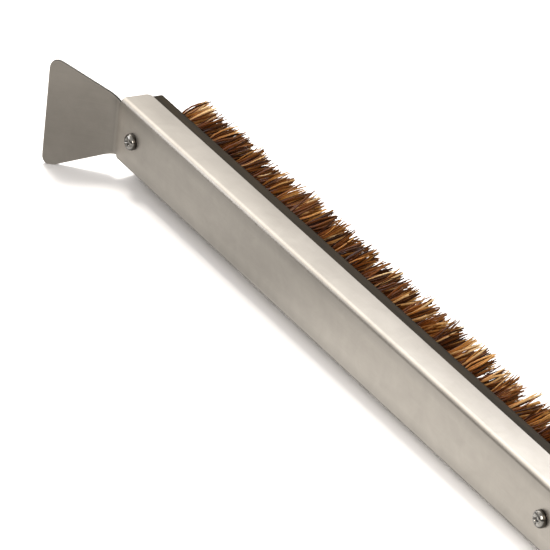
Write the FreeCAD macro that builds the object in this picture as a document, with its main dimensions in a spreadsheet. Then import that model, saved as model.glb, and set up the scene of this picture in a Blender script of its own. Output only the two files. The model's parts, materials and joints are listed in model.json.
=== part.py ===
import FreeCAD, Part
import os
import Sketcher

# A grill cleaning brush: a U-shaped steel channel whose back runs on into a bent scraper,
# a wooden block full of fibre tufts, a wooden grip and a wire hanging loop.
# The brush lies on its side: +X runs from the scraper to the hanging loop, +Y is the way
# the bristles point and +Z is across the channel, upwards. The origin is on the channel's
# outer back face, midway between the two screws that hold the brush block.

# Driving dimensions: name, value in millimetres or degrees, what it is.
DIMENSIONS = [
    ("brush_length", 394, "channel front end to the end of the brush block"),
    ("grip_length", 130, "end of the brush block to the channel's rear end"),
    ("channel_width", 32, "outside width of the channel across its flanges"),
    ("flange_depth", 15, "outside depth of the channel's flanges"),
    ("sheet_thickness", 1.2, "steel sheet"),
    ("bend_radius", 2.5, "outside radius of the two long bends"),
    ("flange_corner", 2.5, "radius of the flanges' free corners"),
    ("scraper_fold", 47.5, "angle between the back and the scraper"),
    ("fold_radius", 10, "inside radius of the scraper's fold"),
    ("fold_start", 0.5, "channel front end to the start of the fold"),
    ("scraper_length", 28.2, "flat part of the scraper"),
    ("scraper_overhang", 13.2, "scraper's free corners beyond the flanges' outer faces"),
    ("notch_inset", 2.7, "notches inside the flanges' outer faces"),
    ("scraper_corner", 4.5, "radius of the scraper's two free corners"),
    ("notch_setback", 3.3, "notch to the fold's theoretical corner"),
    ("block_proud", 7, "wood's height above the flanges"),
    ("wood_side_gap", 0.2, "wood to each flange"),
    ("wood_end_gap", 0.6, "block to grip, and wood to the channel's ends"),
    ("wood_edge", 1.2, "rounding of the block's outer edges"),
    ("grip_edge", 6, "rounding of the grip's outer edges"),
    ("tuft_pitch", 12.7, "distance between tufts in a row"),
    ("tuft_margin", 19, "least distance from the block's end to a tuft"),
    ("row_spacing", 8.5, "middle row to an outer row, at the wood's face"),
    ("row_tilt", 12, "lean of the outer rows away from the middle"),
    ("tuft_hole_diameter", 6.5, "blind hole of a tuft"),
    ("tuft_hole_depth", 10, "depth of that hole along its axis"),
    ("tuft_clearance", 0.05, "tuft to the hole's wall"),
    ("tuft_tip_diameter", 12, "width of a tuft at its tips"),
    ("bristle_length", 17.5, "free length of the fibres"),
    ("anchor_thickness", 0.5, "flat wire anchor in a tuft's fold"),
    ("anchor_height", 2, "anchor's size along the hole"),
    ("anchor_bite", 0.3, "how far the anchor bites into the wood at each end"),
    ("fibre_fold", 1.2, "hole bottom to the anchor"),
    ("screw_end_distance", 14, "channel front end to the front screw"),
    ("grip_screw_distance", 15, "end of the brush block to the grip's front screw"),
    ("grip_rear_distance", 43, "channel's rear end to the grip's rear screw"),
    ("screw_diameter", 3.9, "screw's shank"),
    ("screw_length", 10, "screw under its head"),
    ("head_diameter", 8, "pan head"),
    ("head_height", 3.1, "pan head"),
    ("head_rounding", 2.2, "rounding of the head's rim"),
    ("recess_span", 4.6, "cross recess, tip to tip"),
    ("recess_width", 1.2, "cross recess, width of a wing"),
    ("recess_depth", 1.9, "cross recess"),
    ("screw_clearance", 0.05, "shank to the insert's bore"),
    ("sheet_hole_clearance", 0.2, "shank to the hole in the back"),
    ("insert_diameter", 6, "threaded brass insert"),
    ("insert_length", 9.5, "threaded brass insert"),
    ("insert_waist", 0.4, "depth of the groove round the insert"),
    ("insert_collar", 3.3, "insert's full width at each end of that groove"),
    ("wire_diameter", 2.5, "hanging loop's wire"),
    ("loop_reach", 24, "pivot to the loop's far side, on the wire's centre line"),
    ("loop_corner", 12, "radius of the loop's far corners, on the centre line"),
    ("loop_elbow", 3, "radius of the bend into each pin, on the centre line"),
    ("loop_side_gap", 0.25, "flanges to where each pin starts to bend"),
    ("pin_depth", 2.5, "how far each pin goes into the grip"),
    ("pin_clearance", 0.08, "pin to its holes"),
    ("pivot_setback", 8, "pivot to the channel's rear end"),
    ("cutter_overrun", 2, "how far a cut runs past what it cuts"),
]

document = FreeCAD.newDocument("grill_cleaning_brush")
dimensions = document.addObject("Spreadsheet::Sheet", "Dim")
for row, (alias, number, meaning) in enumerate(DIMENSIONS, start=1):
    dimensions.set(f"A{row}", meaning)
    dimensions.set(f"B{row}", str(number))
    dimensions.setAlias(f"B{row}", alias)
document.recompute()

# Places that several pieces share, as expressions over the sheet.
CHANNEL_FRONT = "(-Dim.brush_length / 2)"
BLOCK_END = "(Dim.brush_length / 2)"
CHANNEL_REAR = "(Dim.brush_length / 2 + Dim.grip_length)"
WOOD_FACE = "(Dim.flange_depth + Dim.block_proud)"
WOOD_HALF_WIDTH = "(Dim.channel_width / 2 - Dim.sheet_thickness - Dim.wood_side_gap)"
WOOD_BACK_ROUNDING = "(Dim.bend_radius - Dim.sheet_thickness + Dim.wood_side_gap)"
PIVOT_X = f"({CHANNEL_REAR} - Dim.pivot_setback)"
PIVOT_Y = "(Dim.flange_depth / 2)"
SCREW_X = {
    "front": f"({CHANNEL_FRONT} + Dim.screw_end_distance)",
    "rear": f"({BLOCK_END} - Dim.screw_end_distance)",
    "grip_front": f"({BLOCK_END} + Dim.grip_screw_distance)",
    "grip_rear": f"({CHANNEL_REAR} - Dim.grip_rear_distance)",
}
OUTER_COUNT = "(floor((Dim.brush_length - 2 * Dim.tuft_margin) / Dim.tuft_pitch) + 1)"
MIDDLE_COUNT = f"({OUTER_COUNT} - 1)"

sub_parts = []


# ---------------------------------------------------------------- helpers

def value(expression):
    """The number that an expression over the sheet gives now."""
    result = dimensions.evalExpression(expression)
    return float(getattr(result, "Value", result))


def register(piece, label):
    """Name a finished sub-part, so that it is checked and written."""
    piece.Label = label
    sub_parts.append(piece)
    return piece


def new_body(name, x="0", y="0", z="0", tilt="0"):
    """A PartDesign body at a place on the sheet, turned about its own X axis."""
    body = document.addObject("PartDesign::Body", name)
    axis = FreeCAD.Vector(1, 0, 0)
    body.Placement = FreeCAD.Placement(FreeCAD.Vector(), FreeCAD.Rotation(axis, value(tilt)))
    body.setExpression(".Placement.Base.x", x)
    body.setExpression(".Placement.Base.y", y)
    body.setExpression(".Placement.Base.z", z)
    if tilt != "0":
        body.setExpression(".Placement.Rotation.Angle", tilt)
    document.recompute()
    return body


def new_sketch(body, role, name, lift="0"):
    """A sketch on one of the body's own planes, lifted along the plane's normal."""
    plane = next(item for item in body.Origin.OriginFeatures if item.Role == role)
    sketch = body.newObject("Sketcher::SketchObject", name)
    sketch.AttachmentSupport = [(plane, "")]
    sketch.MapMode = "FlatFace"
    sketch.setExpression(".AttachmentOffset.Base.z", lift)
    document.recompute()
    return sketch


def fix_coordinate(sketch, element, vertex, kind, expression):
    """Hold one coordinate of a sketch point at an expression."""
    axis = {"DistanceX": -2, "DistanceY": -1}[kind]
    if expression == "0":
        sketch.addConstraint(Sketcher.Constraint("PointOnObject", element, vertex, axis))
        return
    constraint = Sketcher.Constraint(kind, element, vertex, value(expression))
    index = sketch.addConstraint(constraint)
    sketch.setExpression(f"Constraints[{index}]", expression)


def add_outline(sketch, points):
    """A closed outline of straight lines through points given as expressions."""
    corners = [FreeCAD.Vector(value(x), value(y), 0) for x, y in points]
    first = sketch.GeometryCount
    count = len(corners)
    for index in range(count):
        line = Part.LineSegment(corners[index], corners[(index + 1) % count])
        sketch.addGeometry(line, False)
    for index in range(count):
        following = first + (index + 1) % count
        sketch.addConstraint(Sketcher.Constraint("Coincident", first + index, 2, following, 1))
    for index, (x, y) in enumerate(points):
        fix_coordinate(sketch, first + index, 1, "DistanceX", x)
        fix_coordinate(sketch, first + index, 1, "DistanceY", y)


def add_circle(sketch, x, y, diameter):
    """A circle whose centre and diameter are expressions."""
    centre = FreeCAD.Vector(value(x), value(y), 0)
    circle = Part.Circle(centre, FreeCAD.Vector(0, 0, 1), value(diameter) / 2)
    element = sketch.addGeometry(circle, False)
    fix_coordinate(sketch, element, 3, "DistanceX", x)
    fix_coordinate(sketch, element, 3, "DistanceY", y)
    index = sketch.addConstraint(Sketcher.Constraint("Diameter", element, value(diameter)))
    sketch.setExpression(f"Constraints[{index}]", diameter)


def add_pad(body, sketch, length, both_ways=False):
    """Extrude a sketch along its normal, or half the length each way."""
    feature = body.newObject("PartDesign::Pad", sketch.Name + "Pad")
    feature.Profile = sketch
    feature.Midplane = both_ways
    feature.setExpression("Length", length)
    document.recompute()
    return feature


def add_pocket(body, sketch, length=None):
    """Cut a sketch against its normal by a length, or right through both ways."""
    volume_before = body.Shape.Volume
    feature = body.newObject("PartDesign::Pocket", sketch.Name + "Pocket")
    feature.Profile = sketch
    if length is None:
        feature.Type = "ThroughAll"
        feature.Midplane = True
    else:
        feature.setExpression("Length", length)
    document.recompute()
    if not body.Shape.Volume < volume_before:
        raise RuntimeError(f"{feature.Name} cuts nothing")
    return feature


def add_revolution(body, sketch):
    """Turn a half profile once round the sketch's vertical axis."""
    feature = body.newObject("PartDesign::Revolution", sketch.Name + "Revolution")
    feature.Profile = sketch
    feature.ReferenceAxis = (sketch, ["V_Axis"])
    feature.Angle = 360
    document.recompute()
    return feature


def add_row(body, feature, sketch, count, pitch):
    """Repeat a feature along the sketch's horizontal axis."""
    pattern = body.newObject("PartDesign::LinearPattern", feature.Name + "Row")
    pattern.Originals = [feature]
    pattern.Direction = (sketch, ["H_Axis"])
    pattern.setExpression("Occurrences", count)
    pattern.setExpression("Length", f"({count} - 1) * {pitch}")
    body.Tip = pattern
    document.recompute()
    return pattern


def add_fillet(body, chosen, radius):
    """Round the edges of the body that the function chosen picks by their ends."""
    names = []
    for index, edge in enumerate(body.Shape.Edges, start=1):
        ends = [vertex.Point for vertex in edge.Vertexes]
        if len(ends) == 2 and chosen(ends[0], ends[1]):
            names.append(f"Edge{index}")
    if not names:
        raise RuntimeError(f"{body.Label} has no such edge to round")
    base = body.Tip
    feature = body.newObject("PartDesign::Fillet", f"{body.Name}Fillet{len(body.Group)}")
    feature.Base = (base, names)
    feature.setExpression("Radius", radius)
    document.recompute()
    return feature


def near(number, expression):
    """Whether a coordinate is where an expression puts it."""
    return abs(number - value(expression)) < 0.01


def lengthwise(a, b):
    """Whether an edge with these ends runs along the brush."""
    return a.distanceToPoint(b) - abs(a.x - b.x) < 0.01


# ---------------------------------------------------------------- steel channel and scraper

def add_scraper(body):
    """The scraper, cut to its outline and folded, up to the channel's front end."""
    fold_run = "(Dim.fold_radius * tan(Dim.scraper_fold / 2))"
    fold_x = f"({CHANNEL_FRONT} - Dim.fold_start - {fold_run})"
    inner_fold_x = f"({fold_x} - Dim.sheet_thickness * tan(Dim.scraper_fold / 2))"
    reach = f"({fold_run} + Dim.scraper_length)"
    edge = "(Dim.channel_width / 2 + Dim.scraper_overhang)"
    root = "(Dim.channel_width / 2 - Dim.notch_inset)"
    tip_x = f"({fold_x} - {reach} * cos(Dim.scraper_fold))"
    tip_y = f"(-{reach} * sin(Dim.scraper_fold))"
    profile = new_sketch(body, "XY_Plane", "ScraperProfile")
    add_outline(profile, [
        (CHANNEL_FRONT, "0"),
        (fold_x, "0"),
        (tip_x, tip_y),
        (f"{tip_x} - Dim.sheet_thickness * sin(Dim.scraper_fold)",
         f"{tip_y} + Dim.sheet_thickness * cos(Dim.scraper_fold)"),
        (inner_fold_x, "Dim.sheet_thickness"),
        (CHANNEL_FRONT, "Dim.sheet_thickness"),
    ])
    add_pad(body, profile, f"2 * {edge}", both_ways=True)

    def outer_fold(a, b):
        return all(near(p.x, fold_x) and near(p.y, "0") for p in (a, b))

    def inner_fold(a, b):
        return all(near(p.x, inner_fold_x) and near(p.y, "Dim.sheet_thickness") for p in (a, b))

    add_fillet(body, outer_fold, "Dim.fold_radius")
    add_fillet(body, inner_fold, "Dim.fold_radius + Dim.sheet_thickness")

    # The waste beside the tapered outline. The sketch lies in the scraper's own plane,
    # with its origin at the fold's theoretical corner and its X axis towards the channel.
    waste = new_sketch(body, "XZ_Plane", "ScraperWaste")
    turn = FreeCAD.Rotation(FreeCAD.Vector(0, 1, 0), value("Dim.scraper_fold"))
    waste.AttachmentOffset = FreeCAD.Placement(FreeCAD.Vector(value(fold_x), 0, 0), turn)
    waste.setExpression(".AttachmentOffset.Base.x", fold_x)
    waste.setExpression(".AttachmentOffset.Rotation.Angle", "Dim.scraper_fold")
    over = "Dim.cutter_overrun"
    flare = f"(({edge} - {root}) / ({reach} + Dim.notch_setback) * {over})"
    for side in ("", "-"):
        add_outline(waste, [
            ("Dim.notch_setback", f"{side}{root}"),
            (f"-{reach} - {over}", f"{side}({edge} + {flare})"),
            (f"-{reach} - {over}", f"{side}({edge} + {over} + {flare})"),
            (f"Dim.notch_setback + {over}", f"{side}({edge} + {over} + {flare})"),
            (f"Dim.notch_setback + {over}", f"{side}{root}"),
        ])
    add_pocket(body, waste)

    def free_corner(a, b):
        return all(near(abs(p.z), edge) for p in (a, b)) and a.distanceToPoint(b) < value(
            "2 * Dim.sheet_thickness")

    add_fillet(body, free_corner, "Dim.scraper_corner")


def make_body_channel():
    """One steel sheet: the U-shaped channel that runs on into the scraper."""
    body = new_body("BodyChannel")
    add_scraper(body)

    half = "Dim.channel_width / 2"
    sheet = "Dim.sheet_thickness"
    section = new_sketch(body, "YZ_Plane", "ChannelSection", CHANNEL_FRONT)
    add_outline(section, [
        ("0", f"-{half}"),
        ("Dim.flange_depth", f"-{half}"),
        ("Dim.flange_depth", f"-{half} + {sheet}"),
        (sheet, f"-{half} + {sheet}"),
        (sheet, f"{half} - {sheet}"),
        ("Dim.flange_depth", f"{half} - {sheet}"),
        ("Dim.flange_depth", half),
        ("0", half),
    ])
    add_pad(body, section, "Dim.brush_length + Dim.grip_length")

    def flange_corner(a, b):
        across = abs(a.z - b.z) > value(sheet) / 2 and abs(a.x - b.x) < 0.01
        return across and near(a.y, "Dim.flange_depth") and near(b.y, "Dim.flange_depth")

    def outer_bend(a, b):
        return lengthwise(a, b) and near(a.y, "0") and near(abs(a.z), half)

    def inner_bend(a, b):
        return lengthwise(a, b) and near(a.y, sheet) and near(abs(a.z), f"{half} - {sheet}")

    add_fillet(body, flange_corner, "Dim.flange_corner")
    add_fillet(body, outer_bend, "Dim.bend_radius")
    add_fillet(body, inner_bend, f"Dim.bend_radius - {sheet}")

    screw_holes = new_sketch(body, "XZ_Plane", "ScrewHoles")
    for x in SCREW_X.values():
        add_circle(screw_holes, x, "0", "Dim.screw_diameter + 2 * Dim.sheet_hole_clearance")
    add_pocket(body, screw_holes)

    pivot_holes = new_sketch(body, "XY_Plane", "PivotHoles")
    add_circle(pivot_holes, PIVOT_X, PIVOT_Y, "Dim.wire_diameter + 2 * Dim.pin_clearance")
    add_pocket(body, pivot_holes)
    return register(body, "body_channel")


# ---------------------------------------------------------------- wood

def add_insert_holes(body, names):
    """Blind holes in the back of the wood, one for each named screw's insert."""
    holes = new_sketch(body, "XZ_Plane", body.Name + "InsertHoles", "-Dim.sheet_thickness")
    for name in names:
        add_circle(holes, SCREW_X[name], "0", "Dim.insert_diameter")
    add_pocket(body, holes, "Dim.insert_length")


def add_wood_bar(body, start, length, outer_edge):
    """A bar of wood that fills the channel and stands proud of it."""
    section = new_sketch(body, "YZ_Plane", body.Name + "Section", start)
    add_outline(section, [
        ("Dim.sheet_thickness", f"-{WOOD_HALF_WIDTH}"),
        (WOOD_FACE, f"-{WOOD_HALF_WIDTH}"),
        (WOOD_FACE, WOOD_HALF_WIDTH),
        ("Dim.sheet_thickness", WOOD_HALF_WIDTH),
    ])
    add_pad(body, section, length)

    def back_edge(a, b):
        return lengthwise(a, b) and near(a.y, "Dim.sheet_thickness")

    def face_edge(a, b):
        return near(a.y, WOOD_FACE) and near(b.y, WOOD_FACE)

    add_fillet(body, back_edge, WOOD_BACK_ROUNDING)
    add_fillet(body, face_edge, outer_edge)


def make_tuft_holes(name, z, tilt, count):
    """A row of solid cylinders, the space that one row's holes take from the wood."""
    start_x = f"-({count} - 1) * Dim.tuft_pitch / 2"
    body = new_body(name, x=start_x, y=WOOD_FACE, z=z, tilt=tilt)
    circle = new_sketch(body, "XZ_Plane", name + "Circle", "-Dim.cutter_overrun")
    add_circle(circle, "0", "0", "Dim.tuft_hole_diameter")
    hole = add_pad(body, circle, "Dim.tuft_hole_depth + Dim.cutter_overrun")
    add_row(body, hole, circle, count, "Dim.tuft_pitch")
    return body


def make_brush_block(rows):
    """The block: a wooden bar drilled for every tuft, and from behind for two inserts."""
    blank = new_body("BlockBlank")
    front = f"{CHANNEL_FRONT} + Dim.wood_end_gap"
    add_wood_bar(blank, front, "Dim.brush_length - Dim.wood_end_gap", "Dim.wood_edge")
    add_insert_holes(blank, ("front", "rear"))
    drills = document.addObject("Part::MultiFuse", "TuftHoles")
    drills.Shapes = [make_tuft_holes(f"{row}Holes", z, tilt, count) for row, z, tilt, count in rows]
    block = document.addObject("Part::Cut", "BrushBlock")
    block.Base = blank
    block.Tool = drills
    document.recompute()
    if not block.Shape.Volume < blank.Shape.Volume:
        raise RuntimeError("the tuft holes cut nothing")
    return register(block, "brush_block")


def make_grip_block():
    """The grip: a bar of the same wood with well rounded edges and two side bores."""
    body = new_body("GripBlock")
    front = f"{BLOCK_END} + Dim.wood_end_gap"
    add_wood_bar(body, front, "Dim.grip_length - 2 * Dim.wood_end_gap", "Dim.grip_edge")
    add_insert_holes(body, ("grip_front", "grip_rear"))
    bore_length = "Dim.pin_depth + Dim.pin_clearance"
    for side, face in (("Upper", WOOD_HALF_WIDTH), ("Lower", f"(-{WOOD_HALF_WIDTH})")):
        bore = new_sketch(body, "XY_Plane", side + "PinBore", face)
        add_circle(bore, PIVOT_X, PIVOT_Y, "Dim.wire_diameter + 2 * Dim.pin_clearance")
        pocket = body.newObject("PartDesign::Pocket", side + "PinBorePocket")
        pocket.Profile = bore
        pocket.Reversed = side == "Lower"
        pocket.setExpression("Length", bore_length)
        document.recompute()
    return register(body, "grip_block")


# ---------------------------------------------------------------- tufts and their anchors

def make_tufts(label, z, tilt, count):
    """A row of tufts. Each fills its hole, leaves a slot for its anchor and flares out."""
    start_x = f"-({count} - 1) * Dim.tuft_pitch / 2"
    body = new_body(label.title().replace("_", ""), x=start_x, y=WOOD_FACE, z=z, tilt=tilt)
    root = "(Dim.tuft_hole_diameter / 2 - Dim.tuft_clearance)"
    profile = new_sketch(body, "XY_Plane", body.Name + "Profile")
    add_outline(profile, [
        ("0", "-Dim.tuft_hole_depth"),
        (root, "-Dim.tuft_hole_depth"),
        (root, "0"),
        ("Dim.tuft_tip_diameter / 2", "Dim.bristle_length"),
        ("0", "Dim.bristle_length"),
    ])
    tuft = add_revolution(body, profile)
    add_row(body, tuft, profile, count, "Dim.tuft_pitch")

    slot = new_sketch(body, "XY_Plane", body.Name + "AnchorSlot")
    low = "-Dim.tuft_hole_depth + Dim.fibre_fold"
    high = f"{low} + Dim.anchor_height"
    left = "-Dim.tuft_pitch / 2"
    right = f"({count} - 0.5) * Dim.tuft_pitch"
    add_outline(slot, [(left, low), (right, low), (right, high), (left, high)])
    cut = body.newObject("PartDesign::Pocket", body.Name + "SlotPocket")
    cut.Profile = slot
    cut.Midplane = True
    cut.setExpression("Length", "Dim.anchor_thickness")
    document.recompute()
    return register(body, label)


def make_staples(label, z, tilt, count):
    """A row of flat wire anchors, each across the fold of its tuft."""
    start_x = f"-({count} - 1) * Dim.tuft_pitch / 2"
    body = new_body(label.title().replace("_", ""), x=start_x, y=WOOD_FACE, z=z, tilt=tilt)
    reach = "(Dim.tuft_hole_diameter / 2 + Dim.anchor_bite)"
    low = "-Dim.tuft_hole_depth + Dim.fibre_fold"
    high = f"{low} + Dim.anchor_height"
    side = new_sketch(body, "XY_Plane", body.Name + "Side")
    add_outline(side, [(f"-{reach}", low), (reach, low), (reach, high), (f"-{reach}", high)])
    anchor = add_pad(body, side, "Dim.anchor_thickness", both_ways=True)
    add_row(body, anchor, side, count, "Dim.tuft_pitch")
    return register(body, label)


# ---------------------------------------------------------------- fasteners

def make_screw(label, x):
    """A pan head machine screw with a cross recess, its head against the back."""
    body = new_body(label.title().replace("_", ""), x=x)
    shank = "Dim.screw_diameter / 2"
    head = "Dim.head_diameter / 2"
    profile = new_sketch(body, "XY_Plane", body.Name + "Profile")
    add_outline(profile, [
        ("0", "-Dim.head_height"),
        (head, "-Dim.head_height"),
        (head, "0"),
        (shank, "0"),
        (shank, "Dim.screw_length"),
        ("0", "Dim.screw_length"),
    ])
    turned = add_revolution(body, profile)
    rim = []
    for index, edge in enumerate(body.Shape.Edges, start=1):
        on_top = near(edge.BoundBox.YMax, "-Dim.head_height")
        if on_top and near(edge.BoundBox.ZMax, head):
            rim.append(f"Edge{index}")
    rounding = body.newObject("PartDesign::Fillet", body.Name + "Rim")
    rounding.Base = (turned, rim)
    rounding.setExpression("Radius", "Dim.head_rounding")
    document.recompute()

    span = "Dim.recess_span / 2"
    wing = "Dim.recess_width / 2"
    recess = new_sketch(body, "XZ_Plane", body.Name + "Recess", "Dim.head_height")
    add_outline(recess, [
        (wing, wing), (span, wing), (span, f"-{wing}"), (wing, f"-{wing}"),
        (wing, f"-{span}"), (f"-{wing}", f"-{span}"), (f"-{wing}", f"-{wing}"),
        (f"-{span}", f"-{wing}"), (f"-{span}", wing), (f"-{wing}", wing),
        (f"-{wing}", span), (wing, span),
    ])
    add_pocket(body, recess, "Dim.recess_depth")
    return register(body, label)


def make_insert(label, x):
    """A brass insert in the back of the wood, grooved round its middle to hold."""
    body = new_body(label.title().replace("_", ""), x=x, y="Dim.sheet_thickness")
    bore = "Dim.screw_diameter / 2 + Dim.screw_clearance"
    outside = "Dim.insert_diameter / 2"
    waist = f"{outside} - Dim.insert_waist"
    profile = new_sketch(body, "XY_Plane", body.Name + "Profile")
    add_outline(profile, [
        (bore, "0"),
        (outside, "0"),
        (outside, "Dim.insert_collar"),
        (waist, "Dim.insert_collar + Dim.insert_waist"),
        (waist, "Dim.insert_length - Dim.insert_collar - Dim.insert_waist"),
        (outside, "Dim.insert_length - Dim.insert_collar"),
        (outside, "Dim.insert_length"),
        (bore, "Dim.insert_length"),
    ])
    add_revolution(body, profile)
    return register(body, label)


# ---------------------------------------------------------------- hanging loop

def make_hanging_loop():
    """A wire bail whose two pins turn in the flanges; its own origin is on the pivot.
    Its path is laid out from the sheet's values: straight runs with rounded corners."""
    body = new_body("HangingLoop", x=PIVOT_X, y=PIVOT_Y)
    arm = "(Dim.channel_width / 2 + Dim.loop_side_gap + Dim.loop_elbow)"
    pin_end = f"({WOOD_HALF_WIDTH} - Dim.pin_depth)"
    corners = [
        (0, value(f"-{pin_end}"), 0),
        (0, value(f"-{arm}"), value("Dim.loop_elbow")),
        (value("Dim.loop_reach"), value(f"-{arm}"), value("Dim.loop_corner")),
        (value("Dim.loop_reach"), value(arm), value("Dim.loop_corner")),
        (0, value(arm), value("Dim.loop_elbow")),
        (0, value(pin_end), 0),
    ]
    path = new_sketch(body, "XZ_Plane", "LoopPath")
    points = [FreeCAD.Vector(x, z, 0) for x, z, radius in corners]
    for start, end in zip(points, points[1:]):
        path.addGeometry(Part.LineSegment(start, end), False)
    for index in range(len(points) - 2):
        path.addConstraint(Sketcher.Constraint("Coincident", index, 2, index + 1, 1))
    for index, (x, z, radius) in enumerate(corners[1:-1], start=1):
        path.fillet(index - 1, 2, radius)
    wire = new_sketch(body, "XY_Plane", "LoopWire", f"-{pin_end}")
    add_circle(wire, "0", "0", "Dim.wire_diameter")
    pipe = body.newObject("PartDesign::AdditivePipe", "LoopPipe")
    pipe.Profile = wire
    pipe.Spine = (path, [f"Edge{index}" for index in range(1, len(path.Shape.Edges) + 1)])
    document.recompute()
    return register(body, "hanging_loop")


# ---------------------------------------------------------------- assembly

# Name, place across the brush, lean about X and number of tufts of each row.
ROWS = [
    ("upper", "Dim.row_spacing", "Dim.row_tilt", OUTER_COUNT),
    ("middle", "0", "0", MIDDLE_COUNT),
    ("lower", "-Dim.row_spacing", "-Dim.row_tilt", OUTER_COUNT),
]

make_body_channel()
make_brush_block(ROWS)
make_grip_block()
for row_name, row_z, row_tilt, tuft_count in ROWS:
    make_tufts(f"{row_name}_tufts", row_z, row_tilt, tuft_count)
    make_staples(f"{row_name}_staples", row_z, row_tilt, tuft_count)
for screw_name, screw_x in SCREW_X.items():
    make_screw(f"{screw_name}_screw", screw_x)
    make_insert(f"{screw_name}_insert", screw_x)
make_hanging_loop()
document.recompute()

for item in document.Objects:
    if "Invalid" in item.State or "Error" in item.State:
        raise RuntimeError(f"{item.Name} failed: {item.State}")
for piece in sub_parts:
    if piece.Shape.isNull() or not piece.Shape.isValid():
        raise RuntimeError(f"{piece.Label} has no valid shape")

os.makedirs("parts", exist_ok=True)
for piece in sub_parts:
    piece.Shape.exportStep(f"parts/{piece.Label}.step")
    box = piece.Shape.BoundBox
    print(f"{piece.Label:18} solids {len(piece.Shape.Solids):3} volume {piece.Shape.Volume:9.1f}"
          f"  x {box.XMin:8.2f} {box.XMax:8.2f}  y {box.YMin:7.2f} {box.YMax:7.2f}"
          f"  z {box.ZMin:7.2f} {box.ZMax:7.2f}")
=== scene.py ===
# %% [markdown]
# # A grill cleaning brush
# The real brush is one folded sheet of stainless steel with a wooden block screwed into
# it, and tufts of stiff palm fibre stapled into the block. The design file holds every
# size. This lesson adds what the design leaves out: a smooth folded sheet, thousands of
# single fibres, and the finish of each material.

# %% Load the frame
import json
import math
import random

import bmesh
import bpy
from mathutils import Matrix, Vector


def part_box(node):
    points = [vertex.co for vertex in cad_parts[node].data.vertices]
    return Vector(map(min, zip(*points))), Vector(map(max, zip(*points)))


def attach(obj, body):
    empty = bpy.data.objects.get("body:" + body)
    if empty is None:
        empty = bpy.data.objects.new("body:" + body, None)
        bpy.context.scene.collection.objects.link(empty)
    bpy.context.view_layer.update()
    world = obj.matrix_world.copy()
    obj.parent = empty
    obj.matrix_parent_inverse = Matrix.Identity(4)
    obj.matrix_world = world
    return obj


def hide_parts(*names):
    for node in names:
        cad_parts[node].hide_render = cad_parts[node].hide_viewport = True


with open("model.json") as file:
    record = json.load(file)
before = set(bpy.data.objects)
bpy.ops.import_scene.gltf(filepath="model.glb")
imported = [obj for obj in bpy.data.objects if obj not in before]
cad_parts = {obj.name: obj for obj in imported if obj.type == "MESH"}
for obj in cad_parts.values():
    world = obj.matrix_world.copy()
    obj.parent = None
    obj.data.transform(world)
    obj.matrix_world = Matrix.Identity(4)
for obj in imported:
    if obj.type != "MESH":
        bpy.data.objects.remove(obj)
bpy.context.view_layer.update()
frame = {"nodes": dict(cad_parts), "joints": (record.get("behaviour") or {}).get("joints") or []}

MM = 0.001

# %% [markdown]
# ## Small helpers
# Colours are written as the hex values a painter reads off a chart, and Blender wants
# them linear. A tone is a plain grey that brightens or darkens the colour it is multiplied
# with. One function adds every node: it sets the node's fields and, on a colour ramp, its
# stops, and fills or links its sockets.

# %% Helpers for colour and nodes
def srgb(hex_colour):
    """A hex colour such as "#b08050" as the linear colour that shaders use."""
    channels = [int(hex_colour[i:i + 2], 16) / 255 for i in (1, 3, 5)]
    linear = [c / 12.92 if c <= 0.04045 else ((c + 0.055) / 1.055) ** 2.4 for c in channels]
    return (*linear, 1.0)


def tones(*stops):
    """Stops of a ramp of plain greys, from pairs of a position and a tone."""
    return [(position, (tone, tone, tone, 1.0)) for position, tone in stops]


def add_node(tree, kind, inputs=None, stops=(), **settings):
    """Add a node, set its fields and a ramp's stops, and fill or link its sockets."""
    node = tree.nodes.new(kind)
    for name, setting in settings.items():
        setattr(node, name, setting)
    if stops:
        ramp = node.color_ramp.elements
        ramp.remove(ramp[1])
        ramp[0].position, ramp[0].color = stops[0]
        for position, colour in stops[1:]:
            ramp.new(position).color = colour
    for socket, content in (inputs or {}).items():
        if isinstance(content, bpy.types.NodeSocket):
            tree.links.new(content, node.inputs[socket])
        else:
            node.inputs[socket].default_value = content
    return node


def start_material(name, **sockets):
    """A material with its shader's constant sockets set; returns it, its tree and shader."""
    material = bpy.data.materials.new(name)
    material.use_nodes = True
    shader = material.node_tree.nodes["Principled BSDF"]
    for socket, content in sockets.items():
        shader.inputs[socket.replace("_", " ")].default_value = content
    return material, material.node_tree, shader


def deselect():
    """Leave nothing selected, so that an operator acts only on what comes next."""
    bpy.ops.object.select_all(action="DESELECT")


print("mid grey #808080 is", round(srgb("#808080")[0], 3), "in linear light")

# %% [markdown]
# ## Camera, floor and light
# The camera looks down along the brush from beyond its handle end, on the side of the
# steel back. The long lens keeps the far end nearly as large as the near end.

# %% Camera
AIM = Vector((-19.5, -16.6, 15.3)) * MM
CAMERA_DISTANCE = 2.6
CAMERA_AZIMUTH = math.radians(58.29)
CAMERA_ELEVATION = math.radians(27.17)
CAMERA_ROLL = math.radians(6.18)
LENS_LENGTH = 389.55
SENSOR_WIDTH = 36

turn = (Matrix.Rotation(CAMERA_AZIMUTH, 4, "Z")
        @ Matrix.Rotation(math.pi / 2 - CAMERA_ELEVATION, 4, "X")
        @ Matrix.Rotation(CAMERA_ROLL, 4, "Z"))
bpy.ops.object.camera_add()
camera = bpy.context.object
camera.name = "camera"
camera.data.lens = LENS_LENGTH
camera.data.sensor_width = SENSOR_WIDTH
camera.data.clip_end = 20
camera.matrix_world = Matrix.Translation(AIM + turn @ Vector((0, 0, CAMERA_DISTANCE))) @ turn
bpy.context.scene.camera = camera
print("camera at", [round(x, 3) for x in camera.location])

# %% [markdown]
# The brush lies on its side, on the scraper's lower corner, the rear tufts and the hanging
# loop, so the floor is the plane through those three points. It is matt white paper, which
# shows the shadows. The steel doesn't mirror it, because a card does that better.

# %% Floor
FLOOR_SIZE = 6.0
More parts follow.
